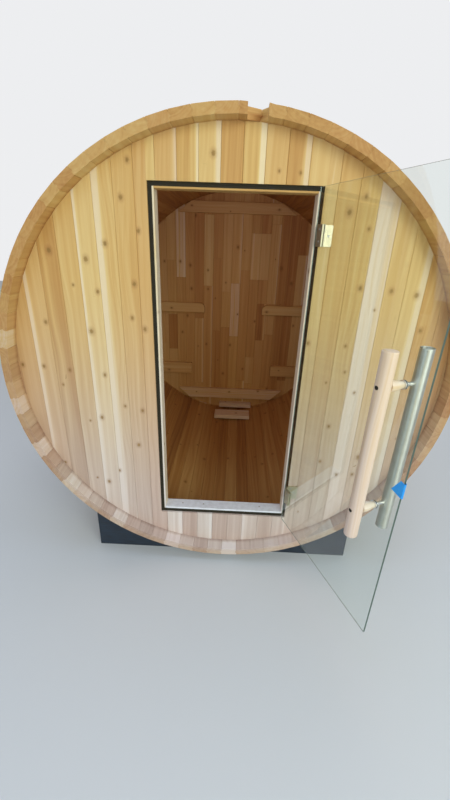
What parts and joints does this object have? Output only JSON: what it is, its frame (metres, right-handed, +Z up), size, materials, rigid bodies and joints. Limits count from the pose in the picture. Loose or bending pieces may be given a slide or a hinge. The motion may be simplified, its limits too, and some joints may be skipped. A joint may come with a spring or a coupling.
{
  "type": "barrel sauna",
  "caption": "Round wooden sauna of staves lying on two cradles, with flat end walls and a hinged clear glass door standing open.",
  "frame": {"origin": "on the floor, at the middle of the underside of the front cradle", "axes": "+Z up, the barrel's axis along Y, the door in the end that faces -Y, +X to the right seen from the front"},
  "size_m": [2.1335, 2.7209, 2.1866],
  "materials": {
    "cedar_staves": "planed, unfinished cedar",
    "cedar_boards": "planed, unfinished cedar",
    "cedar_trim": "planed, unfinished cedar",
    "stained_wood": "dark stain",
    "seal": "matt",
    "glass": "clear, polished",
    "aluminium": "satin",
    "steel": "satin"
  },
  "bodies": {
    "barrel": {"back_batten": "cedar_trim", "back_wall": "cedar_boards", "backrest_rail_left": "cedar_trim", "backrest_rail_right": "cedar_trim", "bench_rail_left": "cedar_trim", "bench_rail_right": "cedar_trim", "cradle_front": "stained_wood", "cradle_rear": "stained_wood", "door_head": "cedar_trim", "door_jamb_left": "cedar_trim", "door_jamb_right": "cedar_trim", "door_seal": "seal", "door_sill": "cedar_trim", "floor_bearer": "cedar_trim", "floor_boards": "cedar_trim", "front_wall_left": "cedar_boards", "front_wall_over_door": "cedar_boards", "front_wall_right": "cedar_boards", "front_wall_under_door": "cedar_boards", "hinge_plate_lower": "steel", "hinge_plate_upper": "steel", "staves_01": "cedar_staves", "staves_02": "cedar_staves", "staves_03": "cedar_staves", "staves_04": "cedar_staves", "staves_05": "cedar_staves", "staves_06": "cedar_staves", "staves_07": "cedar_staves", "staves_08": "cedar_staves", "staves_09": "cedar_staves", "staves_10": "cedar_staves", "staves_11": "cedar_staves", "staves_12": "cedar_staves", "staves_13": "cedar_staves", "threshold_plate": "aluminium", "tightening_bands": "steel"},
    "door": {"door_glass": "glass", "hinge_clamp_lower": "steel", "hinge_clamp_upper": "steel", "handle_inner_bar": "cedar_trim", "handle_outer_bar": "steel", "handle_rod_lower": "steel", "handle_rod_upper": "steel", "handle_boss_lower": "cedar_trim", "handle_boss_upper": "cedar_trim"}
  },
  "joints": [
    {"name": "door_hinge", "type": "hinge", "parent": "barrel", "child": "door", "pos_m": [0.3495, -0.061, 1.1135], "axis": [0, 0, 1], "range_deg": [-112, 43]}
  ]
}
